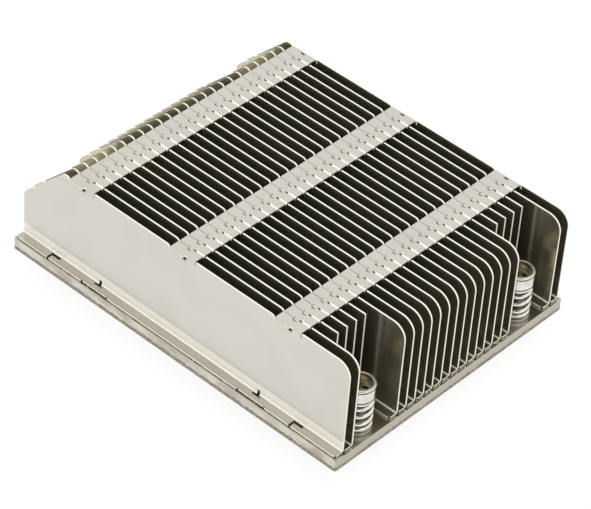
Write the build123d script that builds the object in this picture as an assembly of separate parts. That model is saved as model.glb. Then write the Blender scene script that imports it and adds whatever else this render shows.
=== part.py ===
from build123d import *
import os

# Passive server CPU heatsink: a plated base plate, a layer of solder, a pack of folded sheet metal
# fins and four captive screws, each with a spring and a retaining clip.
# Millimetres. The origin is the centre of the base plate's underside, +Z is up.
# The fins stand side by side along X and run along Y. The near end is -Y and the far end is +Y.

# Screw pattern of the processor socket
pattern_width = 56.0
pattern_length = 94.0
pattern_shift = 0.7

# Base plate
base_side_margin = 12.1
base_end_margin = 5.5
base_thickness = 3.4
base_corner_radius = 0.6
base_edge_break = 0.12

# Solder between the base plate and the feet of the fins
solder_thickness = 0.15
solder_setback = 0.2

# Fin pack
fin_count = 26
outer_fins = 2
pocket_fins = 4
sheet = 0.45
pack_left_margin = 0.5
pack_right_margin = 0.75
pack_near_margin = 0.8
pack_far_margin = 0.55
flange_height = 26.2
crest_rise = 0.08
foot_gap = 0.17
flange_gap = 0.16
foot_bend_radius = 0.45
flange_bend_radius = 0.25
trimmed_band_drop = 0.35

# Outline of a long fin
near_corner_radius = 3.8
chamfer_land = 2.2
chamfer_top_radius = 1.6
chamfer_low_radius = 2.5
chamfer_nick_depth = 0.35
chamfer_nick_length = 1.3
chamfer_nick_rise = 3.4

# Short fins, cut back at both ends to leave a pocket round each screw
pocket_clearance = 1.06

# Flange bands, three rows of folded tabs that space the fins at the top
band_width = 7.7
band_end_margin = 5.57
relief_width = 0.48
relief_depth = 0.7
band_shoulder_run = 0.75
band_shoulder_radius = 1.2

# Locking tongue of each band, with a slanted tip, and the notch that takes it in the fin before
tongue_width = 1.25
tongue_near_reach = 0.8
tongue_far_reach = 0.42
window_height = 1.0
window_reach = 0.38
window_near_relief = 0.75
window_far_relief = 0.35
notch_near_gap = 0.05
notch_far_gap = 0.12
notch_end_gap = 0.04

# Punchings in the foot of each fin: a slit with a slot along the bend, an angled hole through the
# bend, and a stretch of the free edge that is set back between two small nicks
foot_corner_radius = 0.8
slit_width = 0.6
near_slit_from_pocket = 4.5
far_slit_from_pocket = 0.95
slot_length = 2.7
slot_width = 0.75
near_punch_y = 25.4
far_punch_y = 26.1
punch_length = 1.8
punch_width = 0.5
punch_leg_length = 0.8
punch_leg_height = 0.7
setback_from_middle = 21.3
setback_length = 8.4
setback_depth = 0.22
nick_length = 0.4
nick_depth = 0.5

# Captive screw
head_diameter = 7.5
head_height = 4.7
head_clearance = 8.05
head_edge_break = 0.35
head_groove_width = 0.34
head_groove_depth = 0.18
head_top_groove_inset = 0.62
head_low_groove_inset = 0.95
cup_diameter = 5.8
cup_depth = 1.5
recess_width = 0.95
recess_length = 4.2
recess_depth = 1.8
shoulder_diameter = 4.4
thread_diameter = 4.0
tip_depth = 6.5
tip_chamfer = 0.6

# Retaining clip, which sits in a groove of the screw and stops under the base plate
clip_diameter = 7.2
clip_thickness = 0.6
clip_groove_diameter = 3.6
clip_groove_land = 0.7
clip_mouth = 2.6
clip_side_notch = 0.8
clip_clearance = 0.05
counterbore_clearance = 0.6
counterbore_depth = 1.4
hole_clearance = 0.3

# Spring under each screw head
wire_diameter = 1.15
spring_diameter = 7.5
spring_turns = 4.0
spring_seat_gap = 0.04

# Sizes that follow from the ones above
base_width = pattern_width + 2 * base_side_margin
base_length = pattern_length + 2 * base_end_margin
fin_pitch = (base_width - pack_left_margin - pack_right_margin + foot_gap) / fin_count
foot_width = fin_pitch - sheet - foot_gap
first_fin_x = -base_width / 2 + pack_left_margin + foot_width
foot_bottom = base_thickness + solder_thickness
wall_bottom = foot_bottom + sheet + foot_bend_radius
flange_top = base_thickness + flange_height
flange_underside = flange_top - sheet
bend_start = flange_underside - flange_bend_radius
crest = flange_top + crest_rise
long_near = -base_length / 2 + pack_near_margin
long_far = base_length / 2 - pack_far_margin
head_radius = head_diameter / 2
short_far = pattern_length / 2 - head_radius - pocket_clearance
short_near = -short_far
band_spacing = short_far - band_end_margin - band_width / 2
band_centres = [-band_spacing, 0.0, band_spacing]
chamfer_top_y = band_spacing + band_width / 2 + chamfer_land
chamfer_leg = long_far - chamfer_top_y
head_underside = base_thickness + head_clearance
head_top = head_underside + head_height
clip_top = counterbore_depth - clip_clearance
clip_underside = clip_top - clip_thickness
hole_radius = shoulder_diameter / 2 + hole_clearance
counterbore_radius = clip_diameter / 2 + counterbore_clearance
spare = 1.0

corners = {
    "front_left": (pattern_shift - pattern_width / 2, -pattern_length / 2),
    "front_right": (pattern_shift + pattern_width / 2, -pattern_length / 2),
    "rear_left": (pattern_shift - pattern_width / 2, pattern_length / 2),
    "rear_right": (pattern_shift + pattern_width / 2, pattern_length / 2),
}


def block(x, y, z):
    """A box from its (low, high) pair along each axis."""
    size = [high - low for low, high in (x, y, z)]
    middle = [(high + low) / 2 for low, high in (x, y, z)]
    return Pos(*middle) * Box(*size)


def disc(x, y, z, radius):
    """An upright cylinder between a (low, high) pair of heights."""
    low, high = z
    return Pos(x, y, (low + high) / 2) * Cylinder(radius, high - low)


def base_plate():
    """Slab with a counterbored hole at each screw."""
    plate = block(
        (-base_width / 2, base_width / 2), (-base_length / 2, base_length / 2), (0, base_thickness)
    )
    plate = fillet(plate.edges().filter_by(Axis.Z), base_corner_radius)
    rims = plate.faces().sort_by(Axis.Z)
    plate = chamfer(rims[0].edges() + rims[-1].edges(), base_edge_break)
    for x, y in corners.values():
        plate -= disc(x, y, (-spare, base_thickness + spare), hole_radius)
        plate -= disc(x, y, (-spare, counterbore_depth), counterbore_radius)
    return plate


def fin_x(index):
    """Where the wall of a fin starts, counted from 0 at the -X side."""
    return first_fin_x + index * fin_pitch


def is_short(index):
    """True for the fins that end at the screw pockets, counted in from either side."""
    from_side = min(index, fin_count - 1 - index)
    return outer_fins <= from_side < outer_fins + pocket_fins


def solder_layer():
    """Thin layer under the feet, open at the pockets."""
    layer = None
    for index in range(fin_count):
        near, far = (short_near, short_far) if is_short(index) else (long_near, long_far)
        left = fin_x(index) - foot_width
        right = left + fin_pitch
        if index == fin_count - 1:
            right = fin_x(index) - foot_bend_radius
        strip = block(
            (left, right), (near + solder_setback, far - solder_setback), (base_thickness, foot_bottom)
        )
        layer = strip if layer is None else layer + strip
    return layer


def crest_points(band_bottom):
    """Top edge of a wall as far as the chamfer, as (y, z, corner radius), with a dip at each band."""
    points = []
    for centre in band_centres:
        near, far = centre - band_width / 2, centre + band_width / 2
        points += [
            (near - relief_width, crest, 0),
            (near - relief_width, bend_start - relief_depth, 0),
            (near, bend_start - relief_depth, 0),
            (near, band_bottom, 0),
            (far, band_bottom, 0),
            (far + band_shoulder_run, crest, band_shoulder_radius),
        ]
    return points + [(chamfer_top_y, crest, chamfer_top_radius)]


def far_chamfer_points():
    """The chamfer of a long fin below its top corner, with the small nick near its lower end."""
    nick_y = long_far - chamfer_nick_rise
    nick_z = crest - chamfer_leg + chamfer_nick_rise
    half = chamfer_nick_length / 2
    return [
        (nick_y - half, nick_z + half, 0),
        (nick_y - chamfer_nick_depth, nick_z - chamfer_nick_depth, 0.2),
        (nick_y + half, nick_z - half, 0),
        (long_far, crest - chamfer_leg, chamfer_low_radius),
    ]


def wall(points):
    """Flat wall of a fin from its outline of (y, z, corner radius) points."""
    outline = FilletPolyline(
        [(y, z) for y, z, radius in points], radius=[radius for y, z, radius in points], close=True
    )
    return extrude(Plane.YZ * make_face(outline), amount=sheet)


def leaf(reach, bend_radius, near, far):
    """A quarter bend and the flat leaf after it, as the sheet is folded at the top of a wall."""
    outer = bend_radius + sheet
    section = make_face(
        [
            CenterArc((outer, 0), outer, 90, 90),
            Line((outer, outer), (reach, outer)),
            Line((reach, outer), (reach, bend_radius)),
            Line((reach, bend_radius), (outer, bend_radius)),
            CenterArc((outer, 0), bend_radius, 90, 90),
            Line((sheet, 0), (0, 0)),
        ]
    )
    plane = Plane(origin=(0, near, 0), x_dir=(1, 0, 0), z_dir=(0, -1, 0))
    return extrude(plane * section, amount=near - far)


def foot(near, far):
    """The foot, folded towards -X and soldered down, with the punchings that fall inside it."""
    strip = Pos(sheet, 0, wall_bottom) * Rot(0, 180, 0) * leaf(
        foot_width + sheet, foot_bend_radius, near, far
    )
    strip = fillet(strip.edges().filter_by(Axis.Z).group_by(Axis.X)[0], foot_corner_radius)
    for slit in (short_near + near_slit_from_pocket, short_far - far_slit_from_pocket):
        if near < slit - slot_length and slit + slit_width < far:
            strip -= slit_and_slot(slit)
    for middle in (-near_punch_y, far_punch_y):
        strip -= punched_hole(middle)
    for middle in (-setback_from_middle - setback_length / 2, setback_from_middle + setback_length / 2):
        strip -= edge_setback(middle)
    return strip


def slit_and_slot(y):
    """Cut across the foot, turning towards the near end along the bend."""
    through = (foot_bottom - spare, wall_bottom + spare)
    across = (y - slit_width / 2, y + slit_width / 2)
    cut = block((-foot_width - spare, -foot_bend_radius), across, through)
    along = (-foot_bend_radius - slot_width, -foot_bend_radius)
    return cut + block(along, (y - slot_length, y), through)


def punched_hole(y):
    """Angled hole: a slot in the foot beside the bend, with a leg through the bend at its near end."""
    through = (foot_bottom - spare, wall_bottom + spare)
    near_end = y - punch_length / 2
    slot = (-foot_bend_radius - punch_width, -foot_bend_radius)
    hole = block(slot, (near_end, y + punch_length / 2), through)
    leg = (near_end, near_end + punch_leg_length)
    return hole + block((-foot_bend_radius, sheet + spare), leg, through)


def edge_setback(middle):
    """Stretch of the free edge that is set back, with a nick at each end."""
    through = (foot_bottom - spare, wall_bottom + spare)
    low, high = middle - setback_length / 2, middle + setback_length / 2
    cut = block((-foot_width - spare, -foot_width + setback_depth), (low, high), through)
    for nick in (low, high):
        span = (nick - nick_length / 2, nick + nick_length / 2)
        cut += block((-foot_width - spare, -foot_width + nick_depth), span, through)
    return cut


def punched_wall(panel):
    """The wall with the upper ends of the angled holes, just above the bend."""
    for middle in (-near_punch_y, far_punch_y):
        near_end = middle - punch_length / 2
        panel -= block(
            (-spare, sheet + spare),
            (near_end, near_end + punch_leg_length),
            (wall_bottom - spare, wall_bottom + punch_leg_height),
        )
    return panel


def add_bands(fin):
    """Adds the three flange bands with their windows, tongues and notches."""
    reach = fin_pitch - flange_gap
    notch_x = (fin_pitch - tongue_near_reach - notch_end_gap, fin_pitch)
    for centre in band_centres:
        band = leaf(reach, flange_bend_radius, centre - band_width / 2, centre + band_width / 2)
        near, far = centre - tongue_width / 2, centre + tongue_width / 2
        window = (near - window_near_relief, far + window_far_relief)
        notch = (near - notch_near_gap, far + notch_far_gap)
        fin += Pos(0, 0, bend_start) * band
        fin -= block((-spare, sheet + spare), window, (flange_underside - window_height, bend_start))
        fin -= block((-spare, window_reach), window, (bend_start, crest + spare))
        fin -= block(notch_x, notch, (bend_start, crest + spare))
        fin += tongue(near, far)
    return fin


def tongue(near, far):
    """Locking tongue at the height of the flange, reaching back over the fin before."""
    root = sheet + flange_bend_radius
    tip = [(-tongue_far_reach, far), (-tongue_near_reach, near)]
    outline = Polyline((root, near), (root, far), *tip, close=True)
    return extrude(Plane.XY.offset(flange_underside) * make_face(outline), amount=sheet)


def long_fin(band_bottom):
    """A fin over the whole length, without its bands."""
    points = [(long_near, wall_bottom, 0), (long_near, crest, near_corner_radius)]
    points += crest_points(band_bottom) + far_chamfer_points() + [(long_far, wall_bottom, 0)]
    return punched_wall(wall(points)) + foot(long_near, long_far)


def short_fin(band_bottom):
    """A fin that ends at the pockets, without its bands."""
    points = [(short_near, wall_bottom, 0), (short_near, crest, 0)]
    points += crest_points(band_bottom)
    chamfer_end = crest - (short_far - chamfer_top_y)
    points += [(short_far, chamfer_end, 0), (short_far, wall_bottom, 0)]
    return punched_wall(wall(points)) + foot(short_near, short_far)


def screw_body():
    """Screw about its own axis, at its real height: cupped head, shoulder, clip groove, thread."""
    thread_radius = thread_diameter / 2
    shoulder_radius = shoulder_diameter / 2
    groove_low = clip_underside - clip_clearance
    groove_high = clip_top + clip_clearance
    land_low = groove_low - clip_groove_land
    body = disc(0, 0, (-tip_depth, groove_high), thread_radius)
    body = chamfer(body.edges().sort_by(Axis.Z)[0], tip_chamfer)
    body += disc(0, 0, (land_low, head_underside), shoulder_radius)
    body -= ring((groove_low, groove_high), shoulder_radius + spare, clip_groove_diameter / 2)
    head = disc(0, 0, (head_underside, head_top), head_radius)
    rims = head.edges().filter_by(GeomType.CIRCLE).sort_by(Axis.Z)
    head = chamfer([rims[0], rims[-1]], head_edge_break)
    for middle in (head_underside + head_low_groove_inset, head_top - head_top_groove_inset):
        groove = (middle - head_groove_width / 2, middle + head_groove_width / 2)
        head -= ring(groove, head_radius + spare, head_radius - head_groove_depth)
    cup_floor = head_top - cup_depth
    head -= disc(0, 0, (cup_floor, head_top + spare), cup_diameter / 2)
    recess = (cup_floor - recess_depth, head_top + spare)
    half_length, half_width = recess_length / 2, recess_width / 2
    head -= block((-half_length, half_length), (-half_width, half_width), recess)
    head -= block((-half_width, half_width), (-half_length, half_length), recess)
    return body + head


def ring(z, outer, inner):
    """A flat ring between a (low, high) pair of heights."""
    return disc(0, 0, z, outer) - disc(0, 0, z, inner)


def clip():
    """Open retaining clip with a mouth on one side and a notch on each flank."""
    z = (clip_underside, clip_top)
    body = ring(z, clip_diameter / 2, clip_groove_diameter / 2 + clip_clearance)
    body -= block((-clip_mouth / 2, clip_mouth / 2), (-clip_diameter, 0), z)
    for side in (-1, 1):
        body -= disc(side * clip_diameter / 3, 0, z, clip_side_notch)
    return body


def spring():
    """Helical compression spring between the base plate and the screw head."""
    wire_radius = wire_diameter / 2
    low = base_thickness + spring_seat_gap + wire_radius
    high = head_underside - spring_seat_gap - wire_radius
    path = Pos(0, 0, low) * Helix(
        (high - low) / spring_turns, high - low, (spring_diameter - wire_diameter) / 2
    )
    start = Plane(path @ 0, z_dir=path % 0)
    return sweep(start * Circle(wire_radius), path=path, is_frenet=True)


def fins():
    """Every fin of the pack by name."""
    long_piece = add_bands(long_fin(bend_start))
    short_piece = add_bands(short_fin(bend_start))
    last_piece = long_fin(flange_top - trimmed_band_drop)
    pieces = {}
    for index in range(fin_count):
        shape = short_piece if is_short(index) else long_piece
        if index == fin_count - 1:
            shape = last_piece
        pieces[f"fin_{index + 1:02d}"] = Pos(fin_x(index), 0, 0) * shape
    return pieces


def screws():
    """The screw, clip and spring of each corner by name."""
    pieces = {}
    for corner, (x, y) in corners.items():
        pieces[f"screw_{corner}"] = Pos(x, y, 0) * screw_body()
        pieces[f"clip_{corner}"] = Pos(x, y, 0) * clip()
        pieces[f"spring_{corner}"] = Pos(x, y, 0) * spring()
    return pieces


os.makedirs("parts", exist_ok=True)
heatsink = {"base_plate": base_plate(), "solder_layer": solder_layer(), **fins(), **screws()}
for name, shape in heatsink.items():
    export_step(shape, f"parts/{name}.step")
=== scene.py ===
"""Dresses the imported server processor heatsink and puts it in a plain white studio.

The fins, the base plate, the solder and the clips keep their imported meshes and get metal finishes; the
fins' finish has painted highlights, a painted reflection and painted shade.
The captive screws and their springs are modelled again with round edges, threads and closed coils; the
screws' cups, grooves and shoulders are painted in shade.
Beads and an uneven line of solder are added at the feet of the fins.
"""
import logging
import math
from collections.abc import Iterable, Mapping, Sequence
from dataclasses import dataclass, field
from enum import Enum, IntEnum
from functools import reduce

import bmesh
import bpy
import numpy as np
from mathutils import Matrix, Vector, noise


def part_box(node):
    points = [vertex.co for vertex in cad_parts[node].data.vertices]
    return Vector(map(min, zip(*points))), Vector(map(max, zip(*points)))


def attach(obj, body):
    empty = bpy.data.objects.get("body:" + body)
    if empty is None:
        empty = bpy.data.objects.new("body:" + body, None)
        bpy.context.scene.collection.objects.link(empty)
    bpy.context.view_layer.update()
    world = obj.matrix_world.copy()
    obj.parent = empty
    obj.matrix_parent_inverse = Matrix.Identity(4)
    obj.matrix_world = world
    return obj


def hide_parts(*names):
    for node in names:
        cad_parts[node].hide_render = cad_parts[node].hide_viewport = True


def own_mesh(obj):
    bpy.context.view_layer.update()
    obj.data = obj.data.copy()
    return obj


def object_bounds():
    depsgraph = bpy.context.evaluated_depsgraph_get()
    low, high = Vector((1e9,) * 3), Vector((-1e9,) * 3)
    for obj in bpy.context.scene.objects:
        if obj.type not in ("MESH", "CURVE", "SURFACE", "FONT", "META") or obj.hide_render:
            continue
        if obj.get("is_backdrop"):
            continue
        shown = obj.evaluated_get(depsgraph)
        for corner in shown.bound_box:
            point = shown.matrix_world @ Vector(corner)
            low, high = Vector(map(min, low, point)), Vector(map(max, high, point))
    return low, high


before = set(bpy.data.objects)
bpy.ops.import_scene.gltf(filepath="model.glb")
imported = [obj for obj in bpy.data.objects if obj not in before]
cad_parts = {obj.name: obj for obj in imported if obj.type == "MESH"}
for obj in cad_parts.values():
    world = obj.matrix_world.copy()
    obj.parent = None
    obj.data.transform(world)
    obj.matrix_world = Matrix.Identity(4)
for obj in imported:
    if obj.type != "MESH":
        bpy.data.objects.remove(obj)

Triple = tuple[float, float, float]
Span = tuple[float, float]
Colour = Triple
Socket = bpy.types.NodeSocket

MM = 0.001
UP = Vector((0.0, 0.0, 1.0))
WHITE: Colour = (1.0, 1.0, 1.0)
NOISE_MEAN = 0.5

# Sockets of a Mix node that mixes colours.
MIX_SHARE, MIX_FIRST, MIX_SECOND, MIX_RESULT = 0, 6, 7, 2

# Angles in degrees past which an edge of a turned part, a wire or a lump of solder stays sharp.
TURNED_ANGLE = 35.0
WIRE_ANGLE = 60.0
LUMP_ANGLE = 70.0

log = logging.getLogger("heatsink")


class Corner(Enum):
    """The corners of the base plate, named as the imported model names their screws."""

    FRONT_LEFT = "front_left"
    FRONT_RIGHT = "front_right"
    REAR_LEFT = "rear_left"
    REAR_RIGHT = "rear_right"


class Ray(Enum):
    """Kinds of ray that see the white room, by their output of the Light Path node."""

    CAMERA = "Is Camera Ray"
    GLOSSY = "Is Glossy Ray"
    TRANSMISSION = "Is Transmission Ray"


class ScrewSlot(IntEnum):
    """Material slots of a captive screw that differ from its first: painted shade in the cup and recess, and
    on the grooves and shoulder.
    """

    CUP = 1
    SHANK = 2


class Signal:
    """A number that changes over a surface. Arithmetic on it adds Math nodes."""

    def __init__(self, graph: "Graph", socket: Socket) -> None:
        """Wraps one output socket.

        Args:
            graph: The node graph that holds the socket.
            socket: The output socket that carries the number.
        """
        self.graph = graph
        self.socket = socket

    def _math(self, operation: str, *operands: "Signal | float") -> "Signal":
        """Adds one Math node.

        Args:
            operation: The node's operation.
            operands: What goes into its inputs, in order.

        Returns:
            The result.
        """
        return self.graph.signal("ShaderNodeMath", {"operation": operation}, dict(enumerate(operands)))

    def __add__(self, other: "Signal | float") -> "Signal":
        """Sum."""
        return self._math("ADD", self, other)

    def __radd__(self, other: float) -> "Signal":
        """Sum, with the number first."""
        return self._math("ADD", other, self)

    def __sub__(self, other: "Signal | float") -> "Signal":
        """Difference."""
        return self._math("SUBTRACT", self, other)

    def __rsub__(self, other: float) -> "Signal":
        """Difference, with the number first."""
        return self._math("SUBTRACT", other, self)

    def __mul__(self, other: "Signal | float") -> "Signal":
        """Product."""
        return self._math("MULTIPLY", self, other)

    def __rmul__(self, other: float) -> "Signal":
        """Product, with the number first."""
        return self._math("MULTIPLY", other, self)

    def __truediv__(self, other: "Signal | float") -> "Signal":
        """Quotient."""
        return self._math("DIVIDE", self, other)

    def __rtruediv__(self, other: float) -> "Signal":
        """Quotient, with the number first."""
        return self._math("DIVIDE", other, self)

    def __or__(self, other: "Signal | float") -> "Signal":
        """The larger of two masks."""
        return self._math("MAXIMUM", self, other)

    def __ror__(self, other: float) -> "Signal":
        """The larger of two masks, with the number first."""
        return self._math("MAXIMUM", other, self)

    def __abs__(self) -> "Signal":
        """Size without sign."""
        return self._math("ABSOLUTE", self)

    def above(self, limit: "Signal | float") -> "Signal":
        """1 where it is over the limit, else 0."""
        return self._math("GREATER_THAN", self, limit)

    def below(self, limit: "Signal | float") -> "Signal":
        """1 where it is under the limit, else 0."""
        return self._math("LESS_THAN", self, limit)

    def within(self, low: float, high: float) -> "Signal":
        """1 where it lies between two limits, else 0."""
        return self.above(low) * self.below(high)

    def cycle(self, start: float, length: float) -> "Signal":
        """How far it is into a repeating stretch that starts at one place and has one length."""
        return self._math("WRAP", self, start + length, start) - start

    def rise(self, low: float, high: float) -> "Signal":
        """Goes smoothly from 0 at low to 1 at high."""
        limits = {"Value": self, "From Min": low, "From Max": high}
        return self.graph.signal("ShaderNodeMapRange", {"interpolation_type": "SMOOTHSTEP"}, limits)


def any_of(masks: Iterable[Signal]) -> Signal:
    """The largest of several masks."""
    return reduce(Signal.__or__, masks)


@dataclass(frozen=True)
class Place:
    """Where a point of a surface lies and which way it faces, in the model's own frame."""

    x: Signal
    y: Signal
    z: Signal
    face_x: Signal
    face_y: Signal
    face_z: Signal


class Graph:
    """A tree of shader nodes, filled through one method."""

    def __init__(self, tree: bpy.types.NodeTree) -> None:
        """Empties a tree and takes it over.

        Args:
            tree: The tree of a material or of the world.
        """
        self.tree = tree
        self.tree.nodes.clear()

    @classmethod
    def of_material(cls, material: bpy.types.Material) -> "Graph":
        """The emptied graph of a material."""
        material.use_nodes = True
        return cls(material.node_tree)

    def node(
        self,
        kind: str,
        settings: Mapping[str, object] | None = None,
        inputs: Mapping[str | int, object] | None = None,
    ) -> bpy.types.Node:
        """Adds a node.

        Args:
            kind: The node's type.
            settings: Its properties, set first.
            inputs: Values, signals or sockets for its inputs, by name or number.

        Returns:
            The node.
        """
        made = self.tree.nodes.new(kind)
        for name, value in (settings or {}).items():
            setattr(made, name, value)
        for key, value in (inputs or {}).items():
            self._feed(made.inputs[key], value)
        return made

    def signal(
        self,
        kind: str,
        settings: Mapping[str, object] | None = None,
        inputs: Mapping[str | int, object] | None = None,
        output: str | int = 0,
    ) -> Signal:
        """Adds a node and gives one of its outputs as a number.

        Args:
            kind: The node's type.
            settings: Its properties.
            inputs: Values, signals or sockets for its inputs.
            output: The name or number of the output.

        Returns:
            The output as a signal.
        """
        return Signal(self, self.node(kind, settings, inputs).outputs[output])

    def _feed(self, socket: Socket, value: object) -> None:
        """Links a signal or socket into an input, or sets the input's own value.

        Args:
            socket: The input.
            value: A signal, a socket, a number, a colour or a vector.
        """
        if isinstance(value, Signal):
            self.tree.links.new(value.socket, socket)
        elif isinstance(value, bpy.types.NodeSocket):
            self.tree.links.new(value, socket)
        elif socket.type == "RGBA":
            socket.default_value = (*value, 1.0)
        else:
            socket.default_value = value

    def place(self) -> Place:
        """Finds the point and its direction.

        Returns:
            The point in millimetres, and its direction as a unit vector.
        """
        coordinates = self.node("ShaderNodeTexCoord")
        point = self.node("ShaderNodeSeparateXYZ", inputs={0: coordinates.outputs["Object"]})
        facing = self.node("ShaderNodeSeparateXYZ", inputs={0: coordinates.outputs["Normal"]})
        places = [Signal(self, output) / MM for output in point.outputs]
        return Place(*places, *[Signal(self, output) for output in facing.outputs])

    def stretched(self, per_mm: Triple) -> Socket:
        """The point, scaled along each axis.

        Args:
            per_mm: Texture units in a millimetre, along X, Y and Z.

        Returns:
            A vector for a texture node.
        """
        coordinates = self.node("ShaderNodeTexCoord")
        scale = tuple(value / MM for value in per_mm)
        inputs = {0: coordinates.outputs["Object"], 1: scale}
        return self.node("ShaderNodeVectorMath", {"operation": "MULTIPLY"}, inputs).outputs[0]

    def per_piece(self) -> Signal:
        """A number from 0 to 1 that differs from piece to piece."""
        return self.signal("ShaderNodeObjectInfo", output="Random")

    def blend(self, share: Signal, first: Colour | Socket, second: Colour | Socket) -> Socket:
        """Mixes two colours.

        Args:
            share: 0 gives the first colour and 1 the second.
            first: A colour or a colour socket.
            second: A colour or a colour socket.

        Returns:
            The mixed colour.
        """
        inputs = {MIX_SHARE: share, MIX_FIRST: first, MIX_SECOND: second}
        return self.node("ShaderNodeMix", {"data_type": "RGBA"}, inputs).outputs[MIX_RESULT]

    def bump(self, height: Signal, distance_mm: float, strength: float) -> Socket:
        """Turns a height into a bumped normal.

        Args:
            height: The height, from 0 to 1.
            distance_mm: What a height of 1 stands for.
            strength: Share of the bump that shows.

        Returns:
            The normal.
        """
        inputs = {"Strength": strength, "Distance": distance_mm * MM, "Height": height}
        return self.node("ShaderNodeBump", inputs=inputs).outputs[0]

    def end_with_surface(self, inputs: Mapping[str, object]) -> None:
        """Ends a material with one Principled surface.

        Args:
            inputs: What goes into the surface's sockets.
        """
        surface = self.node("ShaderNodeBsdfPrincipled", inputs=inputs)
        self.node("ShaderNodeOutputMaterial", inputs={"Surface": surface.outputs[0]})

    def end_with_mix(
        self, output: str, share: Signal, first: bpy.types.Node, second: bpy.types.Node
    ) -> None:
        """Ends a material or the world with a mix of two shaders.

        Args:
            output: Type of the output node.
            share: 0 gives the first shader and 1 the second.
            first: A shader node.
            second: A shader node.
        """
        inputs = {0: share, 1: first.outputs[0], 2: second.outputs[0]}
        mixed = self.node("ShaderNodeMixShader", inputs=inputs)
        self.node(output, inputs={"Surface": mixed.outputs[0]})


@dataclass(frozen=True)
class Pattern:
    """Soft noise with so many grains in a millimetre, and the stretch over which its mask rises."""

    per_mm: Triple
    detail: float
    reach: Span = (0.35, 0.70)

    def on(self, graph: Graph) -> Signal:
        """The noise on a graph's surface, between 0 and 1."""
        inputs = {"Vector": graph.stretched(self.per_mm), "Scale": 1.0, "Detail": self.detail}
        return graph.signal("ShaderNodeTexNoise", inputs=inputs)

    def mask(self, graph: Graph) -> Signal:
        """The noise as a mask on a graph's surface."""
        return self.on(graph).rise(*self.reach)


@dataclass(frozen=True)
class FinLayout:
    """Where the folds and cuts of the fins lie, for the masks of their finish, in millimetres.

    A slack is how far a mask reaches past what it marks.
    """

    first_edge: float
    pitch: float
    fin_count: int
    foot_top: float
    bend_start: float
    sheet: float
    foot_gap: float = 0.17
    foot_bend_radius: float = 0.45
    edge_reach: float = 0.6
    slot_rise: float = 1.2
    cutout_reach: float = 41.9
    band_spacing: float = 32.77
    band_width: float = 7.7
    tongue_width: float = 1.25
    tongue_rise: float = 0.32
    relief_width: float = 0.48
    relief_drop: float = 1.8
    near_bend_gap: float = 0.4
    groove_gap: float = 0.3
    end_depth: float = 0.05
    slack: float = 0.01
    shelf_slack: float = 0.02
    relief_slack: float = 0.03
    wall_slack: float = 0.1

    @property
    def first_wall(self) -> float:
        """Where the first fin's wall starts along X."""
        return self.first_edge + self.pitch - self.sheet - self.foot_gap

    @property
    def last_wall(self) -> float:
        """Where the last fin's wall starts along X."""
        return self.first_wall + (self.fin_count - 1) * self.pitch

    def along_bands(self, place: Place, start: float, end: float) -> Signal:
        """Marks the same stretch of Y in each of the three flange bands.

        Args:
            place: The point and its direction.
            start: Where the stretch starts, from the band's middle.
            end: Where it ends.

        Returns:
            1 within such a stretch, else 0.
        """
        centres = (-self.band_spacing, 0.0, self.band_spacing)
        return any_of(place.y.within(centre + start, centre + end) for centre in centres)


@dataclass(frozen=True)
class Facing:
    """Limits for how far a surface faces along an axis, from -1 to 1."""

    straight: float = 0.9
    halfway: float = 0.5
    band_top: float = 0.98
    groove: float = -0.74
    near_bend_highlight: float = -0.25
    low_bend: float = 0.35
    crease: float = 0.88


@dataclass(frozen=True)
class SheetMarks:
    """Masks of the kinds of surface that the fins have, each from 0 to 1; besides real kinds of surface they
    mark painted shade between the fins and in hollows, a painted reflection on the first fin and painted
    highlights on the bends.
    """

    cut: Signal
    foot: Signal
    inner: Signal
    glow: Signal
    bend: Signal
    shade: Signal


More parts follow.
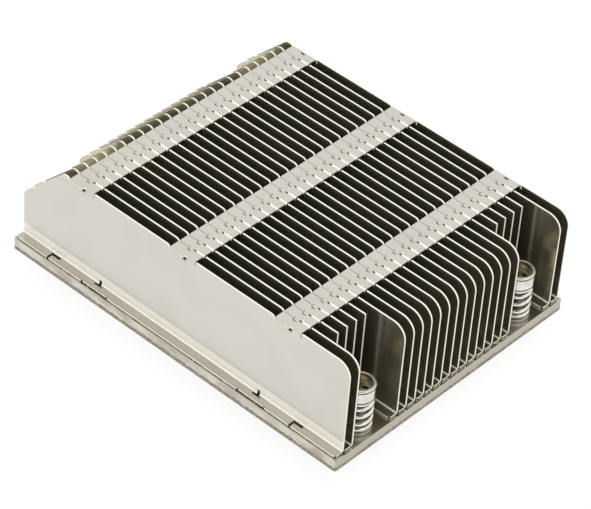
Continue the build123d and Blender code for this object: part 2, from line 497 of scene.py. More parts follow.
@dataclass(frozen=True)
class SheetFinish:
    """Bright rolled aluminium sheet with sheared edges and matt bends, painted highlights on the bends, a
    painted reflection on the first fin, and painted shade between the fins and in hollows.
    """

    layout: FinLayout
    facing: Facing = Facing()
    face: Colour = (0.658, 0.634, 0.577)
    # Painted shade on the faces between the fins, darker and warmer than the outer faces.
    between: Colour = (0.600, 0.570, 0.440)
    cut: Colour = (0.890, 0.862, 0.738)
    # Painted highlight colour of the bends.
    bend: Colour = (0.960, 0.935, 0.840)
    # Painted reflection of the foot on the first fin's outer face, just above its foot bend.
    foot_reflection: Colour = (0.860, 0.812, 0.715)
    stain: Colour = (0.420, 0.386, 0.340)
    # Painted shade for band ends, tongue tips, reliefs, cut-outs, seams and creases.
    dark: Colour = (0.050, 0.042, 0.030)
    face_metallic: float = 0.94
    inner_metallic: float = 0.96
    cut_metallic: float = 0.12
    bend_metallic: float = 0.15
    shade_metallic_loss: float = 0.6
    face_roughness: float = 0.20
    matt_roughness: float = 0.45
    grain_roughness: float = 0.06
    piece_roughness: float = 0.03
    grain: Pattern = Pattern((2.4, 0.12, 2.4), 3.0)
    grain_depth: float = 0.006
    grain_strength: float = 0.2
    mottle: Pattern = Pattern((0.10, 0.10, 0.10), 2.0, (0.35, 0.75))
    mottle_share: float = 0.10
    streaks: Pattern = Pattern((1.8, 0.10, 1.8), 2.0, (0.60, 0.70))
    streak_share: float = 0.08
    soot_share: float = 0.15
    soot_swing: float = 0.4
    spots: Pattern = Pattern((0.8, 0.8, 0.8), 3.0, (0.66, 0.74))
    spot_share: float = 0.5
    groove_shade: float = 0.55
    crease_shade: float = 0.6
    # Heights over the foot bend where the painted reflection fades out.
    reflection_reach: Span = (2.9, 1.9)

    def build(self) -> bpy.types.Material:
        """Makes the material of every fin.

        Returns:
            The material.
        """
        material = bpy.data.materials.new("fin_sheet")
        graph = Graph.of_material(material)
        marks = self._marks(graph.place())
        grain = self.grain.on(graph)
        mottle = self.mottle.on(graph)
        soot = mottle * self.soot_swing + self.soot_share
        # The faces between the fins are painted in shade.
        rolled = graph.blend(marks.inner, self.face, self.between)
        worn = graph.blend(mottle.rise(*self.mottle.reach) * self.mottle_share, rolled, self.stain)
        streaked = graph.blend(self.streaks.mask(graph) * self.streak_share, worn, self.cut)
        sooted = graph.blend(marks.foot * soot, streaked, self.stain)
        spotted = graph.blend(self.spots.mask(graph) * marks.foot * self.spot_share, sooted, self.cut)
        # Painted reflection of the foot on the first fin's outer face.
        foot_reflected = graph.blend(marks.glow, spotted, self.foot_reflection)
        # Painted highlights along the bends.
        folded = graph.blend(marks.bend, foot_reflected, self.bend)
        edged = graph.blend(marks.cut, folded, self.cut)
        matt = marks.cut | marks.bend | marks.glow
        metallic = (
            self.face_metallic
            + marks.inner * (self.inner_metallic - self.face_metallic)
            - marks.cut * (self.face_metallic - self.cut_metallic)
            - (marks.bend | marks.glow) * (self.face_metallic - self.bend_metallic)
        )
        rough = self.face_roughness + grain * self.grain_roughness + graph.per_piece() * self.piece_roughness
        graph.end_with_surface(
            {
                # Painted shade in hollows, seams and creases.
                "Base Color": graph.blend(marks.shade, edged, self.dark),
                "Metallic": metallic * (1.0 - marks.shade * self.shade_metallic_loss),
                "Roughness": rough + matt * (self.matt_roughness - self.face_roughness),
                "Normal": graph.bump(grain, self.grain_depth, self.grain_strength),
            }
        )
        return material

    def _marks(self, place: Place) -> SheetMarks:
        """Works out which kind of surface a point lies on.

        Args:
            place: The point and its direction.

        Returns:
            The masks.
        """
        layout, facing = self.layout, self.facing
        half, tongue = layout.band_width / 2, layout.tongue_width / 2
        relief_half = half + layout.relief_width + layout.relief_slack
        faces_near = place.face_x.below(-facing.straight)
        past_first = place.x.above(layout.first_wall + layout.sheet + layout.wall_slack)
        past_last = place.x.above(layout.last_wall + layout.sheet / 2)

        foot = place.z.below(layout.foot_top + layout.slack)
        low_bend = place.z.below(layout.foot_top + layout.foot_bend_radius)
        at_band = layout.along_bands(place, -half - layout.slack, half + layout.slack)
        band = at_band * place.z.above(layout.bend_start - layout.slack)
        folded = low_bend | band
        tongue_tip = band * place.z.above(layout.bend_start + layout.tongue_rise) * faces_near

        from_edge = place.x.cycle(layout.first_edge, layout.pitch)
        free_edge = foot * faces_near * from_edge.below(layout.edge_reach)
        ends = abs(place.face_y).above(facing.straight)
        edges = (1.0 - folded) * abs(place.face_x).below(facing.halfway) | folded * ends | free_edge
        cut = edges | band * place.face_x.above(facing.straight) | tongue_tip

        upright = foot * abs(place.face_z).below(facing.halfway)
        slots = upright | edges * place.z.below(layout.foot_top + layout.slot_rise)
        cutouts = slots * (1.0 - free_edge) * abs(place.y).below(layout.cutout_reach)
        shelf = place.z.within(layout.bend_start - layout.relief_drop, layout.bend_start + layout.shelf_slack)
        relief = edges * shelf * layout.along_bands(place, -relief_half, relief_half)
        end_stretch = layout.along_bands(place, -half - layout.slack, -half + layout.end_depth)
        near_end = band * place.face_y.below(-facing.straight) * end_stretch

        bent = (1.0 - cut) * band * place.face_z.below(facing.band_top) * past_first
        # Painted highlight along the near half of each band's bends.
        near_bend_highlight = bent * layout.along_bands(place, -half, -tongue - layout.near_bend_gap)
        # Painted shade along the seam in the far half of each band.
        groove_stretch = layout.along_bands(place, tongue + layout.groove_gap, half)
        groove = bent * groove_stretch * place.face_x.below(facing.groove)
        # Painted highlight on the feet's bends, over the whole foot bend of the first fin.
        foot_bend_highlight = low_bend * (place.face_z.above(facing.low_bend) | (1.0 - past_first))
        # Painted shade at the foot's side of each foot bend.
        crease = low_bend * (1.0 - foot) * (1.0 - cut) * place.face_z.above(facing.crease)

        # Faces between the fins, which get painted shade.
        inside = (past_first | place.face_x.above(facing.halfway)) * (1.0 - past_last)
        outside = (1.0 - past_first) * faces_near
        above_bend = place.z - (layout.foot_top + layout.foot_bend_radius)
        # Painted shade in the band ends, tongue tips, reliefs and cut-outs.
        hollows = (near_end | tongue_tip | relief) * past_first | cutouts
        return SheetMarks(
            cut=cut,
            foot=foot * place.face_z.above(facing.halfway),
            inner=inside * place.z.below(layout.bend_start),
            # Painted reflection of the foot on the first fin's outer face, fading out upward from its foot
            # bend.
            glow=outside * (1.0 - folded) * above_bend.rise(*self.reflection_reach),
            # Painted highlights on the feet's bends and on the near halves of the bands' bends.
            bend=foot_bend_highlight * (1.0 - cut) * (1.0 - foot) | near_bend_highlight * place.face_x.below(facing.near_bend_highlight),
            shade=hollows | groove * self.groove_shade | crease * self.crease_shade,
        )


@dataclass(frozen=True)
class PlateFinish:
    """Plated slab whose sides show a smooth sheared zone over a rough broken one."""

    thickness: float
    face: Colour = (0.520, 0.495, 0.435)
    sheared: Colour = (0.680, 0.662, 0.592)
    worn: Colour = (0.470, 0.430, 0.355)
    broken: Colour = (0.185, 0.162, 0.120)
    side_limit: float = 0.3
    end_limit: float = 0.5
    end_wear: float = 0.9
    broken_share: float = 0.38
    coarse_wave: Pattern = Pattern((0.35, 0.35, 0.05), 3.0)
    coarse_swing: float = 1.3
    fine_wave: Pattern = Pattern((1.6, 1.6, 0.3), 3.0)
    fine_swing: float = 0.5
    broken_rise: Span = (-0.12, 0.22)
    pits: Pattern = Pattern((2.2, 2.2, 3.2), 4.0)
    pit_depth: float = 0.12
    pit_strength: float = 0.5
    cloud: Pattern = Pattern((0.18, 0.18, 0.4), 3.0)
    brushed: Pattern = Pattern((0.3, 3.0, 0.3), 2.0)
    brushed_height: float = 0.02
    face_roughness: float = 0.22
    side_roughness: float = 0.14
    broken_roughness: float = 0.22
    brushed_roughness: float = 0.05
    broken_metallic_loss: float = 0.35

    def build(self) -> bpy.types.Material:
        """Makes the material of the base plate.

        Returns:
            The material.
        """
        material = bpy.data.materials.new("base_plating")
        graph = Graph.of_material(material)
        place = graph.place()
        side = abs(place.face_z).below(self.side_limit)
        coarse = (self.coarse_wave.on(graph) - NOISE_MEAN) * self.coarse_swing
        fine = (self.fine_wave.on(graph) - NOISE_MEAN) * self.fine_swing
        boundary = self.thickness * self.broken_share + coarse + fine
        broken = side * (boundary - place.z).rise(*self.broken_rise)
        pits = self.pits.on(graph)
        brushed = self.brushed.on(graph)
        ends = abs(place.face_y).above(self.end_limit)
        sides = graph.blend(self.cloud.mask(graph) | ends * self.end_wear, self.sheared, self.worn)
        smooth = graph.blend(side, self.face, sides)
        pitted = graph.blend(pits.rise(*self.pits.reach), self.broken, self.worn)
        height = pits * broken + brushed * self.brushed_height * (1.0 - broken)
        side_rough = side * self.side_roughness + broken * self.broken_roughness
        graph.end_with_surface(
            {
                "Base Color": graph.blend(broken, smooth, pitted),
                "Metallic": 1.0 - broken * self.broken_metallic_loss,
                "Roughness": self.face_roughness + side_rough + brushed * self.brushed_roughness,
                "Normal": graph.bump(height, self.pit_depth, self.pit_strength),
            }
        )
        return material


@dataclass(frozen=True)
class SolderFinish:
    """Dull solder that darkens to brown flux and shines in places."""

    shine: float
    flux: Colour = (0.045, 0.035, 0.024)
    metal: Colour = (0.50, 0.47, 0.41)
    lumps: Pattern = Pattern((1.4, 1.4, 1.4), 3.0, (0.68, 0.78))
    lump_depth: float = 0.1
    lump_strength: float = 0.6
    shine_shift: float = 0.4
    bare_metallic: float = 0.9
    flux_roughness: float = 0.55
    bare_smoothness: float = 0.25

    def build(self) -> bpy.types.Material:
        """Makes the material of the solder, more of it bare metal the more shine it has.

        Returns:
            The material.
        """
        material = bpy.data.materials.new(f"solder_{round(self.shine * 100)}")
        graph = Graph.of_material(material)
        lumps = self.lumps.on(graph)
        bare = lumps.rise(*(limit - self.shine * self.shine_shift for limit in self.lumps.reach))
        graph.end_with_surface(
            {
                "Base Color": graph.blend(bare, self.flux, self.metal),
                "Metallic": bare * self.bare_metallic,
                "Roughness": self.flux_roughness - bare * self.bare_smoothness,
                "Normal": graph.bump(lumps, self.lump_depth, self.lump_strength),
            }
        )
        return material


@dataclass(frozen=True)
class TurnedFinish:
    """Bright plated metal of a turned or drawn part, with faint lines left by the tool."""

    name: str
    colour: Colour
    roughness: float
    line_depth: float
    lines_per_mm: Triple
    line_detail: float = 2.0
    line_strength: float = 0.5
    cloud: Pattern = Pattern((0.5, 0.5, 0.5), 3.0)
    cloud_colour: float = 0.86
    cloud_roughness: float = 0.08

    def build(self) -> bpy.types.Material:
        """Makes the material of the part.

        Returns:
            The material.
        """
        material = bpy.data.materials.new(self.name)
        graph = Graph.of_material(material)
        lines = Pattern(self.lines_per_mm, self.line_detail).on(graph)
        cloud = self.cloud.on(graph)
        darker = tuple(value * self.cloud_colour for value in self.colour)
        graph.end_with_surface(
            {
                "Base Color": graph.blend(cloud.rise(*self.cloud.reach), self.colour, darker),
                "Metallic": 1.0,
                "Roughness": self.roughness + cloud * self.cloud_roughness,
                "Normal": graph.bump(lines, self.line_depth, self.line_strength),
            }
        )
        return material


class Metal(Enum):
    """Finishes of the pieces at a screw station: colour, roughness, and depth and number of lines."""

    SCREW = TurnedFinish("screw_plating", (0.79, 0.765, 0.71), 0.14, 0.006, (1.0, 1.0, 14.0))
    # The cup and shank finishes are the plating in painted shade, for the cup and recess, the head's grooves
    # and the shoulder.
    CUP = TurnedFinish("screw_cup", (0.52, 0.465, 0.375), 0.20, 0.01, (3.0, 3.0, 3.0))
    SHANK = TurnedFinish("screw_shank", (0.25, 0.215, 0.165), 0.24, 0.01, (1.0, 1.0, 8.0))
    SPRING = TurnedFinish("spring_wire", (0.84, 0.81, 0.75), 0.03, 0.0005, (3.0, 3.0, 3.0))
    CLIP = TurnedFinish("clip_steel", (0.45, 0.44, 0.42), 0.3, 0.01, (4.0, 4.0, 4.0))


def dress(piece: bpy.types.Object, material: bpy.types.Material) -> None:
    """Gives every slot of a piece one material.

    Args:
        piece: The piece.
        material: Its finish.
    """
    if not piece.material_slots:
        piece.data.materials.append(material)
    for slot in piece.material_slots:
        slot.material = material


def mesh_piece(name: str, shape: bmesh.types.BMesh, sharp_angle: float) -> bpy.types.Object:
    """Turns a built shape into a piece, smooth but for its sharp edges.

    Args:
        name: The piece's name.
        shape: The shape, which is freed.
        sharp_angle: Angle in degrees past which an edge stays sharp.

    Returns:
        The piece, linked into the scene.
    """
    mesh = bpy.data.meshes.new(name)
    shape.to_mesh(mesh)
    shape.free()
    mesh.shade_smooth()
    mesh.set_sharp_from_angle(angle=math.radians(sharp_angle))
    piece = bpy.data.objects.new(name, mesh)
    bpy.context.scene.collection.objects.link(piece)
    return piece


def skin(shape: bmesh.types.BMesh, rows: Sequence[Sequence[bmesh.types.BMVert]]) -> None:
    """Joins closed rows of vertices with quads.

    Args:
        shape: The shape that holds the vertices.
        rows: The rows, each as long as the others.
    """
    count = len(rows[0])
    for lower, upper in zip(rows, rows[1:]):
        for here in range(count):
            after = (here + 1) % count
            shape.faces.new((lower[here], lower[after], upper[after], upper[here]))


def close(shape: bmesh.types.BMesh, rows: Sequence[Sequence[bmesh.types.BMVert]]) -> None:
    """Makes a closed body of closed rows of vertices, with a flat face at each end.

    Args:
        shape: The shape that holds the vertices.
        rows: The rows, each as long as the others.
    """
    skin(shape, rows)
    shape.faces.new(rows[0])
    shape.faces.new(reversed(rows[-1]))
    bmesh.ops.recalc_face_normals(shape, faces=shape.faces)


@dataclass
class CoilSpring:
    """Compression spring with closed end coils, standing on the base plate.

    Sizes are in millimetres and the centre in metres.
    """

    centre: Vector
    low: float
    high: float
    start_angle: float
    wire_radius: float = 0.575
    coil_radius: float = 3.175
    turns: float = 3.85
    closed_turns: float = 0.2
    opening_turns: float = 0.5
    closed_slope: float = 0.02
    steps_per_turn: int = 56
    ring_points: int = 18

    def heights(self) -> np.ndarray:
        """Works out how the wire climbs, flatter over the closed end coils.

        Returns:
            Height of the wire's centre at each step.
        """
        count = round(self.turns * self.steps_per_turn) + 1
        turn = np.linspace(0.0, self.turns, count)
        from_end = np.minimum(turn, self.turns - turn)
        openness = np.clip((from_end - self.closed_turns) / self.opening_turns, 0.0, 1.0)
        slope = self.closed_slope + openness * openness * (3.0 - 2.0 * openness)
        climbed = np.concatenate(([0.0], np.cumsum((slope[1:] + slope[:-1]) / 2)))
        low = self.low + self.wire_radius
        high = self.high - self.wire_radius
        return low + (high - low) * climbed / climbed[-1]

    def build(self, name: str) -> bpy.types.Object:
        """Sweeps the wire along the coil.

        Args:
            name: The piece's name.

        Returns:
            The spring.
        """
        shape = bmesh.new()
        rows = []
        for step, height in enumerate(self.heights()):
            angle = self.start_angle + math.tau * step / self.steps_per_turn
            outward = Vector((math.cos(angle), math.sin(angle), 0.0))
            middle = self.centre + (outward * self.coil_radius + UP * float(height)) * MM
            rows.append(self._ring(shape, middle, outward))
        close(shape, rows)
        return mesh_piece(name, shape, WIRE_ANGLE)

    def _ring(self, shape: bmesh.types.BMesh, middle: Vector, outward: Vector) -> list[bmesh.types.BMVert]:
        """One round section of the wire.

        Args:
            shape: The shape that takes the vertices.
            middle: The section's centre.
            outward: Direction away from the coil's axis.

        Returns:
            The section's vertices.
        """
        ring = []
        for point in range(self.ring_points):
            turn = math.tau * point / self.ring_points
            offset = outward * math.cos(turn) + UP * math.sin(turn)
            ring.append(shape.verts.new(middle + offset * self.wire_radius * MM))
        return ring


@dataclass
class CaptiveScrew:
    """Turned screw with a cupped, grooved head, a cross recess, a clip groove and a thread.

    Sizes are in millimetres and the centre in metres. The shoulder starts at the height of the base
    plate's underside.
    """

    centre: Vector
    tip: float
    top: float
    head_radius: float = 3.75
    head_height: float = 4.7
    rim_round: float = 0.32
    arc_steps: int = 7
    cup_radius: float = 2.9
    cup_depth: float = 1.5
    cup_chamfer: float = 0.25
    lip_round: float = 0.2
    top_groove_inset: float = 0.62
    low_groove_inset: float = 0.95
    groove_width: float = 0.34
    groove_depth: float = 0.18
    shoulder_radius: float = 2.2
    shoulder_start: float = 0.0
    clip_groove: Span = (0.70, 1.40)
    clip_groove_radius: float = 1.8
    thread_radius: float = 2.0
    thread_pitch: float = 0.7
    thread_depth: float = 0.42
    thread_flank: float = 1.15
    thread_end: float = -0.3
    rings_per_pitch: int = 8
    tip_chamfer: float = 0.6
    recess_length: float = 4.2
    recess_width: float = 0.95
    recess_depth: float = 1.8
    recess_taper: Span = (0.45, 0.7)
    recess_angle: float = 20.0
    recess_spare: float = 0.2
    marked_lip: float = 0.15
    marked_cup_slack: float = 0.02
    marked_head_slack: float = 0.01
    marked_groove_share: float = 0.4
    segments: int = 72

    @property
    def underside(self) -> float:
        """Height of the head's underside."""
        return self.top - self.head_height

    @property
    def cup_floor(self) -> float:
        """Height of the cup's floor."""
        return self.top - self.cup_depth

    def build(self, name: str) -> bpy.types.Object:
        """Turns the body, then cuts the cross recess.

        Args:
            name: The piece's name.

        Returns:
            The screw.
        """
        shape = bmesh.new()
        points = self.outline()
        rows = []
        for radius, height in points[1:-1]:
            rows.append([self._vertex(shape, radius, height, step) for step in range(self.segments)])
        skin(shape, rows)
        for (_, height), row in ((points[0], rows[0]), (points[-1], rows[-1])):
            pole = shape.verts.new(self.centre + UP * height * MM)
            for here, after in zip(row, row[1:] + row[:1]):
                shape.faces.new((pole, here, after))
        bmesh.ops.recalc_face_normals(shape, faces=shape.faces)
        body = mesh_piece(name, shape, TURNED_ANGLE)
        self._cut(body, self._recess_tool())
        return body

    def outline(self) -> list[Span]:
        """Half section of the screw, from the tip to the cup's floor.

        Returns:
            Its corners, each a radius and a height.
        """
        thread_start = self.tip + self.tip_chamfer
        ring = self.thread_pitch / self.rings_per_pitch
        rings = round((self.shoulder_start - thread_start) / ring)
        low, high = self.clip_groove
        rim = self.head_radius - self.rim_round
        rows = [(0.0, self.tip), (self.thread_radius - self.tip_chamfer, self.tip)]
        rows += [(self.thread_radius, thread_start + step * ring) for step in range(rings)]
        rows.append((self.thread_radius, self.shoulder_start))
        rows += [(self.shoulder_radius, self.shoulder_start), (self.shoulder_radius, low)]
        rows += [(self.clip_groove_radius, low), (self.clip_groove_radius, high)]
        rows += [(self.shoulder_radius, high), (self.shoulder_radius, self.underside)]
        rows += self._arc(rim, self.underside + self.rim_round, self.rim_round, -90.0)
        rows += self._groove(self.underside + self.low_groove_inset)
        rows += self._groove(self.top - self.top_groove_inset)
        rows += self._arc(rim, self.top - self.rim_round, self.rim_round, 0.0)
        rows += self._arc(self.cup_radius + self.lip_round, self.top - self.lip_round, self.lip_round, 90.0)
        rows.append((self.cup_radius, self.cup_floor + self.cup_chamfer))
        rows += [(self.cup_radius - self.cup_chamfer, self.cup_floor), (0.0, self.cup_floor)]
        return rows

    def _arc(self, radius: float, height: float, size: float, start: float) -> list[Span]:
        """A quarter arc of the outline.

        Args:
            radius: Radius at which the arc's centre lies.
            height: Height of the arc's centre.
            size: The arc's own radius.
            start: First angle in degrees, 0 outward and 90 up.

        Returns:
            Points along the arc.
        """
        angles = [math.radians(start + 90.0 * step / self.arc_steps) for step in range(self.arc_steps + 1)]
        return [(radius + size * math.cos(angle), height + size * math.sin(angle)) for angle in angles]

    def _groove(self, middle: float) -> list[Span]:
        """A shallow groove round the head.

        Args:
            middle: Height of the groove's middle.

        Returns:
            Its four corners.
        """
        low, high = middle - self.groove_width / 2, middle + self.groove_width / 2
        inner, outer = self.head_radius - self.groove_depth, self.head_radius
        return [(outer, low), (inner, low), (inner, high), (outer, high)]

    def _vertex(
        self, shape: bmesh.types.BMesh, radius: float, height: float, step: int
    ) -> bmesh.types.BMVert:
        """One point of the turned body, drawn in where the thread runs.

        Args:
            shape: The shape that takes the vertex.
            radius: The outline's radius there.
            height: The outline's height there.
            step: Which segment round the axis.

        Returns:
            The vertex.
        """
        angle = math.tau * step / self.segments
        if self.tip + self.tip_chamfer / 2 < height < self.thread_end:
            phase = (height / self.thread_pitch - step / self.segments) % 1.0
            radius -= self.thread_depth * min(1.0, abs(2.0 * phase - 1.0) * self.thread_flank)
        offset = Vector((radius * math.cos(angle), radius * math.sin(angle), height))
        return shape.verts.new(self.centre + offset * MM)

    def _recess_tool(self) -> bpy.types.Object:
        """Makes the tapered cross that cuts the driver recess.

        Returns:
            The tool.
        """
        levels = ((self.cup_floor - self.recess_depth, self.recess_taper),
                  (self.cup_floor + self.recess_spare, (1.0, 1.0)))
        shape = bmesh.new()
        rows = []
        for height, (length_share, width_share) in levels:
            reach = self.recess_length / 2 * length_share
            half = self.recess_width / 2 * width_share
            row = []
            for quarter in range(4):
                turn = Matrix.Rotation(math.radians(self.recess_angle + 90.0 * quarter), 3, "Z")
                for x, y in ((reach, -half), (reach, half), (half, half)):
                    row.append(shape.verts.new(self.centre + turn @ Vector((x, y, height)) * MM))
            rows.append(row)
        close(shape, rows)
        return mesh_piece("recess_tool", shape, TURNED_ANGLE)

    def _cut(self, body: bpy.types.Object, tool: bpy.types.Object) -> None:
        """Takes the tool's shape out of the body, then removes the tool.

        Args:
            body: The screw.
            tool: What is cut away.
        """
        cut = body.modifiers.new("recess", "BOOLEAN")
        cut.operation = "DIFFERENCE"
        cut.solver = "EXACT"
        cut.object = tool
        evaluated = body.evaluated_get(bpy.context.evaluated_depsgraph_get())
        mesh = bpy.data.meshes.new_from_object(evaluated)
        body.modifiers.clear()
        body.data = mesh
        mesh.set_sharp_from_angle(angle=math.radians(TURNED_ANGLE))
        bpy.data.objects.remove(tool)

    def mark_shaded(self, body: bpy.types.Object) -> None:
        """Gives the cup and recess, and the grooves and shoulder, their own material slots, which are painted
        in shade.

        Args:
            body: The screw, with its three materials.
        """
        for face in body.data.polygons:
            offset = face.center / MM - self.centre / MM
            radius = math.hypot(offset.x, offset.y)
            on_head = offset.z > self.underside + self.rim_round
            in_cup = radius < self.cup_radius + self.marked_cup_slack
            below_lip = offset.z < self.top - self.marked_lip
            in_groove = radius < self.head_radius - self.groove_depth * self.marked_groove_share
            below_rim = offset.z < self.top - self.rim_round
            on_shoulder = self.shoulder_start < offset.z < self.underside + self.marked_head_slack
            if on_head and in_cup and below_lip:
                face.material_index = ScrewSlot.CUP
            elif on_shoulder or (on_head and in_groove and below_rim):
                face.material_index = ScrewSlot.SHANK


@dataclass
class ScrewStation:
    """One corner's screw, spring and clip."""

    corner: Corner
    travel: float = 1.8
    start_angles: Mapping[Corner, float] = field(
        default_factory=lambda: {
            Corner.FRONT_LEFT: 2.9,
            Corner.FRONT_RIGHT: 3.45,
            Corner.REAR_LEFT: 2.2,
            Corner.REAR_RIGHT: 0.6,
        }
    )

    def build(self, finishes: Mapping[Metal, bpy.types.Material]) -> list[bpy.types.Object]:
        """Models and dresses the station's pieces.

        Args:
            finishes: The material of each metal.

        Returns:
            The pieces made here.
        """
        name = self.corner.value
        low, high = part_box(f"screw_{name}")
        centre = Vector(((low.x + high.x) / 2, (low.y + high.y) / 2, 0.0))
        screw = CaptiveScrew(centre, low.z / MM, high.z / MM)
        body = screw.build(f"turned_screw_{name}")
        dress(body, finishes[Metal.SCREW])
        for metal in (Metal.CUP, Metal.SHANK):
            body.data.materials.append(finishes[metal])
        screw.mark_shaded(body)
        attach(body, f"screw_{name}")
        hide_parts(f"screw_{name}")
        base_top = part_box("base_plate")[1].z / MM
        coil = CoilSpring(centre, base_top, screw.underside, self.start_angles[self.corner])
        spring = coil.build(f"coil_{name}")
        dress(spring, finishes[Metal.SPRING])
        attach(spring, "heatsink")
        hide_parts(f"spring_{name}")
        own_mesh(spring)
        dress(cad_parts[f"clip_{name}"], finishes[Metal.CLIP])
        return [body, spring]


@dataclass
class FinPack:
    """The folded fins, in millimetres."""

    sheet: float = 0.45
    crest_rise: float = 0.08
    flange_bend_radius: float = 0.25

    def names(self) -> list[str]:
        """The fins' names in order."""
        return sorted(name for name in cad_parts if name.startswith("fin_"))

    def layout(self) -> FinLayout:
        """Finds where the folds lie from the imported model.

        Returns:
            The layout.
        """
        first_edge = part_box("fin_01")[0].x / MM
        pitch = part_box("fin_02")[0].x / MM - first_edge
        foot_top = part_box("solder_layer")[1].z / MM + self.sheet
        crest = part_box("fin_03")[1].z / MM
        bend_start = crest - self.crest_rise - self.sheet - self.flange_bend_radius
        return FinLayout(first_edge, pitch, len(self.names()), foot_top, bend_start, self.sheet)

    def build(self) -> list[bpy.types.Object]:
        """Dresses the fins.

        Returns:
            The fins.
        """
        material = SheetFinish(self.layout()).build()
        fins = [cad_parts[name] for name in self.names()]
        for fin in fins:
            dress(fin, material)
        return fins


@dataclass
class Footing:
    """The base plate and the solder that holds the fins on it, in millimetres.

    Each wave of the fillet has its count in a metre, its row of the noise and its share.
    """

    seed: int = 5
    layer_shine: float = 0.15
    bead_shine: float = 0.55
    fillet_shine: float = 0.2
    bead_counts: tuple[int, int] = (1, 3)
    bead_radius: Span = (0.14, 0.34)
    bead_reach: Span = (0.3, 2.9)
    bead_spread: Span = (-0.1, 0.12)
    bead_lift: float = 0.3
    bead_length: Span = (0.9, 1.5)
    bead_depth: Span = (0.7, 1.0)
    bead_height: float = 0.6
    bead_swell: float = 0.35
    bead_lumps: float = 1.3
    noise_room: float = 50.0
    fillet_step: float = 0.5
    fillet_inset: float = 0.15
    fillet_end_gap: float = 0.9
    fillet_width: Span = (0.08, 0.34)
    fillet_mean: float = 0.18
    fillet_swing: float = 0.14
    fillet_jitter: float = 0.02
    fillet_lip: float = 0.08
    fillet_lip_share: float = 0.4
    fillet_overlap: float = 0.02
    fillet_waves: tuple[Triple, ...] = ((400.0, 7.0, 1.0), (1500.0, 3.0, 0.5))

    def build(self, fins: FinPack) -> list[bpy.types.Object]:
        """Dresses the plate and the solder layer, and adds beads and a fillet of solder.

        Args:
            fins: The fins that stand on it.

        Returns:
            The pieces made here.
        """
        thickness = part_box("base_plate")[1].z / MM
        dress(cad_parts["base_plate"], PlateFinish(thickness).build())
        dress(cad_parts["solder_layer"], SolderFinish(self.layer_shine).build())
        beads = self._beads(fins)
        dress(beads, SolderFinish(self.bead_shine).build())
        fillet = self._fillet()
        dress(fillet, SolderFinish(self.fillet_shine).build())
        for piece in (beads, fillet):
            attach(piece, "heatsink")
        return [beads, fillet]

    def _beads(self, fins: FinPack) -> bpy.types.Object:
        """Small lumps of solder squeezed out at the ends of the feet.

        Args:
            fins: The fins whose feet the lumps lie at.

        Returns:
            All the beads as one piece.
        """
        chance = np.random.default_rng(self.seed)
        shape = bmesh.new()
        base_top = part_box("base_plate")[1].z
        fewest, most = self.bead_counts
        for name in fins.names():
            low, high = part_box(name)
            first, last = (low.x + reach * MM for reach in self.bead_reach)
            for end, outward in ((low.y, -1.0), (high.y, 1.0)):
                for _ in range(int(chance.integers(fewest, most + 1))):
                    radius = chance.uniform(*self.bead_radius) * MM
                    x = chance.uniform(first, last)
                    y = end + outward * chance.uniform(*self.bead_spread) * MM
                    centre = Vector((x, y, base_top + radius * self.bead_lift))
                    self._bead(shape, centre, radius, chance)
        return mesh_piece("solder_beads", shape, LUMP_ANGLE)

    def _bead(
        self, shape: bmesh.types.BMesh, centre: Vector, radius: float, chance: np.random.Generator
    ) -> None:
        """One uneven lump.

        Args:
            shape: The shape that takes the lump.
            centre: Its middle.
            radius: Its mean radius in metres.
            chance: The source of its unevenness.
        """
        made = bmesh.ops.create_icosphere(shape, subdivisions=2, radius=1.0)
        length, depth = chance.uniform(*self.bead_length), chance.uniform(*self.bead_depth)
        stretch = Vector((length, depth, self.bead_height))
        shift = Vector(chance.uniform(0.0, self.noise_room, 3))
        for vertex in made["verts"]:
            swell = 1.0 + self.bead_swell * noise.noise(vertex.co * self.bead_lumps + shift)
            vertex.co = centre + Vector(a * b for a, b in zip(vertex.co, stretch)) * swell * radius

    def _fillet(self) -> bpy.types.Object:
        """Lays an uneven line of solder along the free edge of the first foot.

        Returns:
            The fillet.
        """
        low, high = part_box("fin_01")
        base_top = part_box("base_plate")[1].z
        layer_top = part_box("solder_layer")[1].z
        chance = np.random.default_rng(self.seed + 1)
        shape = bmesh.new()
        rows = []
        inner = low.x + self.fillet_inset * MM
        start, end = low.y + self.fillet_end_gap * MM, high.y - self.fillet_end_gap * MM
        count = round((end - start) / (self.fillet_step * MM))
        for step in range(count + 1):
            y = start + (end - start) * step / count
            width = self._fillet_width(y, chance) * MM
            section = (
                (inner, base_top),
                (low.x - width, base_top),
                (low.x - width * self.fillet_lip_share, base_top + self.fillet_lip * MM),
                (low.x + self.fillet_overlap * MM, layer_top),
                (inner, layer_top),
            )
            rows.append([shape.verts.new((x, y, z)) for x, z in section])
        close(shape, rows)
        return mesh_piece("solder_fillet", shape, LUMP_ANGLE)

    def _fillet_width(self, y: float, chance: np.random.Generator) -> float:
        """How far the fillet reaches out at one place.

        Args:
            y: The place along the foot in metres.
            chance: The source of its unevenness.

        Returns:
            The width in millimetres.
        """
        wave = sum(
            share * noise.noise(Vector((y * count, row, 0.0))) for count, row, share in self.fillet_waves
        )
        jitter = chance.uniform(-self.fillet_jitter, self.fillet_jitter)
        narrow, wide = self.fillet_width
        return min(wide, max(narrow, self.fillet_mean + self.fillet_swing * wave + jitter))


@dataclass(frozen=True)
class Lamp:
    """A square soft box that doesn't show in mirrors, with its distance and side in metres."""

    name: str
    direction: Triple
    distance: float
    side: float
    radiance: float

    def place(self, target: Vector) -> None:
        """Hangs the lamp and points it at the object.

        Args:
            target: The point it faces.
        """
        light = bpy.data.lights.new(self.name, "AREA")
        light.shape = "SQUARE"
        light.size = self.side
        light.energy = self.radiance * math.pi * self.side**2
        lamp = bpy.data.objects.new(self.name, light)
        towards = Vector(self.direction).normalized()
        lamp.location = target + towards * self.distance
        lamp.rotation_mode = "QUATERNION"
        lamp.rotation_quaternion = towards.to_track_quat("Z", "Y")
        lamp.visible_glossy = False
        bpy.context.scene.collection.objects.link(lamp)


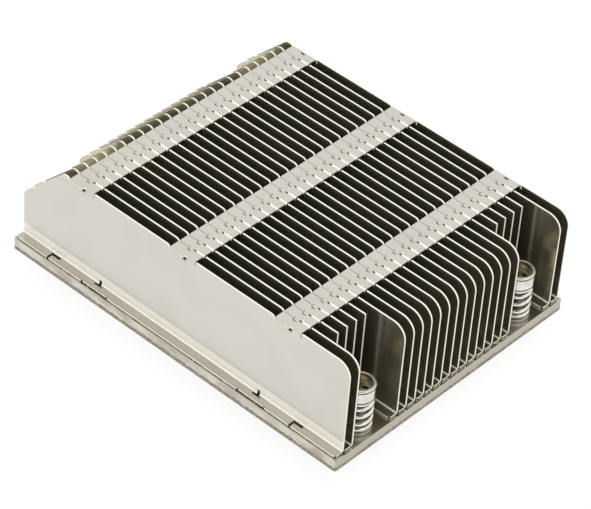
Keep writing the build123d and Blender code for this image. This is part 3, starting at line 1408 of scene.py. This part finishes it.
@dataclass(frozen=True)
class PhotoCamera:
    """Camera from which the object was seen, in degrees and millimetres, its clip span in metres."""

    azimuth: float = -50.11
    elevation: float = 40.72
    roll: float = 4.73
    distance: float = 725.7
    slide_right: float = 1.496
    slide_up: float = -3.179
    target_height: float = 11.836
    focal_pixels: float = 3056.92
    image_width: float = 591.0
    sensor_width: float = 36.0
    clip: Span = (0.05, 50.0)

    def place(self) -> None:
        """Makes the camera and hands it to the scene."""
        around, lift, roll = (math.radians(angle) for angle in (self.azimuth, self.elevation, self.roll))
        level = Vector((math.cos(around), math.sin(around), 0.0))
        ahead = Vector((-math.sin(around), math.cos(around), 0.0))
        back = UP * math.sin(lift) - ahead * math.cos(lift)
        upright = back.cross(level)
        right = math.cos(roll) * level + math.sin(roll) * upright
        top = -math.sin(roll) * level + math.cos(roll) * upright
        eye = UP * self.target_height + back * self.distance + right * self.slide_right + top * self.slide_up
        data = bpy.data.cameras.new("photo_camera")
        data.sensor_width = self.sensor_width
        data.lens = self.focal_pixels * self.sensor_width / self.image_width
        data.clip_start, data.clip_end = self.clip
        camera = bpy.data.objects.new("photo_camera", data)
        turn = Matrix((right, top, back)).transposed().to_4x4()
        camera.matrix_world = Matrix.Translation(eye * MM) @ turn
        bpy.context.scene.collection.objects.link(camera)
        bpy.context.scene.camera = camera


@dataclass
class Studio:
    """White surroundings: floor, world, lamps and camera."""

    floor_side: float = 12.0
    floor_colour: Colour = (0.92, 0.92, 0.92)
    floor_glow: float = 1.06
    shadow_share: float = 0.2
    diffuse_level: float = 0.80
    dark_side: Triple = (-0.44, -0.37, 0.82)
    dark_level: float = 0.03
    dark_reach: Span = (28.0, 18.0)
    lamps: Sequence[Lamp] = (
        Lamp("side_light", (-0.80, -0.10, 0.55), distance=1.3, side=0.9, radiance=1.5),
        Lamp("front_light", (-0.25, -0.75, 0.62), distance=1.3, side=0.9, radiance=0.6),
        Lamp("top_light", (0.1, -0.25, 1.0), distance=1.3, side=1.1, radiance=0.9),
    )

    def build(self) -> None:
        """Sets up everything round the object."""
        bpy.context.scene.view_settings.view_transform = "Standard"
        low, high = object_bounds()
        self._floor(low.z)
        self._world()
        for lamp in self.lamps:
            lamp.place((low + high) / 2)
        PhotoCamera().place()

    def _ray(self, graph: Graph, *kinds: Ray) -> Signal:
        """1 for rays of any of the kinds, else 0.

        Args:
            graph: The graph that asks.
            kinds: The kinds of ray.

        Returns:
            The mask.
        """
        path = graph.node("ShaderNodeLightPath")
        return any_of(Signal(graph, path.outputs[kind.value]) for kind in kinds)

    def _floor(self, height: float) -> None:
        """Lays the floor under the object.

        Args:
            height: Height of the floor.
        """
        shape = bmesh.new()
        bmesh.ops.create_grid(shape, x_segments=1, y_segments=1, size=self.floor_side / 2)
        floor = mesh_piece("floor", shape, TURNED_ANGLE)
        floor.location.z = height
        material = bpy.data.materials.new("white_floor")
        graph = Graph.of_material(material)
        lit = graph.node("ShaderNodeBsdfDiffuse", inputs={"Color": self.floor_colour})
        glow = graph.node("ShaderNodeEmission", inputs={"Color": WHITE, "Strength": self.floor_glow})
        share = self._ray(graph, *Ray) * (1.0 - self.shadow_share)
        graph.end_with_mix("ShaderNodeOutputMaterial", share, lit, glow)
        dress(floor, material)
        floor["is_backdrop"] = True

    def _world(self) -> None:
        """Lights the object evenly, and shows white with one dark side to what mirrors it."""
        world = bpy.data.worlds.new("white_room")
        world.use_nodes = True
        bpy.context.scene.world = world
        graph = Graph(world.node_tree)
        direction = graph.node("ShaderNodeTexCoord").outputs["Generated"]
        inputs = {0: direction, 1: tuple(Vector(self.dark_side).normalized())}
        nearness = graph.signal("ShaderNodeVectorMath", {"operation": "DOT_PRODUCT"}, inputs, "Value")
        outer, inner = (math.cos(math.radians(angle)) for angle in self.dark_reach)
        dark = nearness.rise(outer, inner) * self._ray(graph, Ray.GLOSSY)
        room = graph.blend(dark, WHITE, (self.dark_level,) * 3)
        soft = graph.node("ShaderNodeBackground", inputs={"Color": WHITE, "Strength": self.diffuse_level})
        shown = graph.node("ShaderNodeBackground", inputs={"Color": room, "Strength": 1.0})
        graph.end_with_mix("ShaderNodeOutputWorld", self._ray(graph, *Ray), soft, shown)


def report(part: str, pieces: Iterable[bpy.types.Object]) -> None:
    """Logs each piece of a part with its triangles.

    Args:
        part: The part's name.
        pieces: Its pieces.
    """
    for piece in pieces:
        triangles = sum(len(face.vertices) - 2 for face in piece.data.polygons)
        log.info("%s: %s, %d triangles", part, piece.name, triangles)


def main() -> None:
    """Builds the parts in order."""
    logging.basicConfig(level=logging.INFO, format="%(name)s: %(message)s")
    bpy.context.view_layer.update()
    fins = FinPack()
    report("fins", fins.build())
    report("footing", Footing().build(fins))
    finishes = {metal: metal.value.build() for metal in Metal}
    for corner in Corner:
        report("screw station", ScrewStation(corner).build(finishes))
    Studio().build()


if __name__ == "__main__":
    main()
